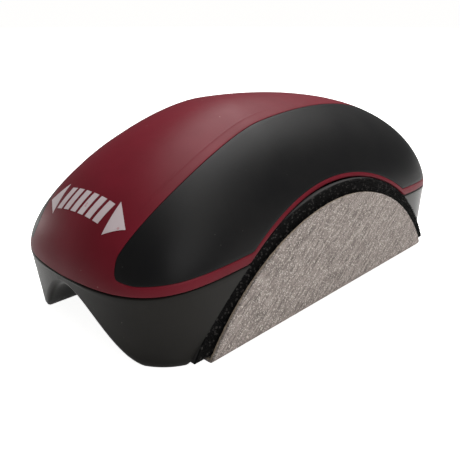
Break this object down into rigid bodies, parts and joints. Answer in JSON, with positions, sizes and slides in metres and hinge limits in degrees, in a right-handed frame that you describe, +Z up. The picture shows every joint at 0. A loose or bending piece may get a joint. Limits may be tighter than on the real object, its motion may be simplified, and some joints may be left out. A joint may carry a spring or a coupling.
{
  "type": "palm edge sander",
  "caption": "Palm-held sanding block with a domed two-colour handle, D-shaped hook-and-loop sanding faces on its flat sides and a tunnel underneath.",
  "frame": {"origin": "middle of the sole plane, under the centre of the body", "axes": "+X across the body towards its right side, +Y from the nose towards the tail, +Z up from the sole to the crown"},
  "size_m": [0.0584, 0.127, 0.0501],
  "materials": {
    "crown_plastic": "fine-textured satin moulding, burgundy",
    "base_plastic": "satin moulding, dark warm grey",
    "grip_rubber": "soft-touch matt rubber, black",
    "foam": "closed-cell foam, dark grey",
    "hook_fabric": "woven hook tape, black",
    "loop_fabric": "brushed loop knit, tan",
    "abrasive_cloth": "fine grit on cloth, light warm grey",
    "screw_steel": "zinc-plated steel"
  },
  "bodies": {
    "body": {"crown_shell": "crown_plastic", "base_shell": "base_plastic", "left_grip": "grip_rubber", "right_grip": "grip_rubber", "left_foam": "foam", "right_foam": "foam", "left_hook": "hook_fabric", "right_hook": "hook_fabric", "nose_screw": "screw_steel", "tail_screw": "screw_steel"},
    "right_sheet": {"right_loop": "loop_fabric", "right_abrasive": "abrasive_cloth"},
    "left_sheet": {"left_loop": "loop_fabric", "left_abrasive": "abrasive_cloth"}
  },
  "joints": [
    {"name": "right_sheet_lift", "type": "slide", "parent": "body", "child": "right_sheet", "axis": [1, 0, 0], "range_m": [0, 0.03]},
    {"name": "left_sheet_lift", "type": "slide", "parent": "body", "child": "left_sheet", "axis": [-1, 0, 0], "range_m": [0, 0.03]}
  ]
}
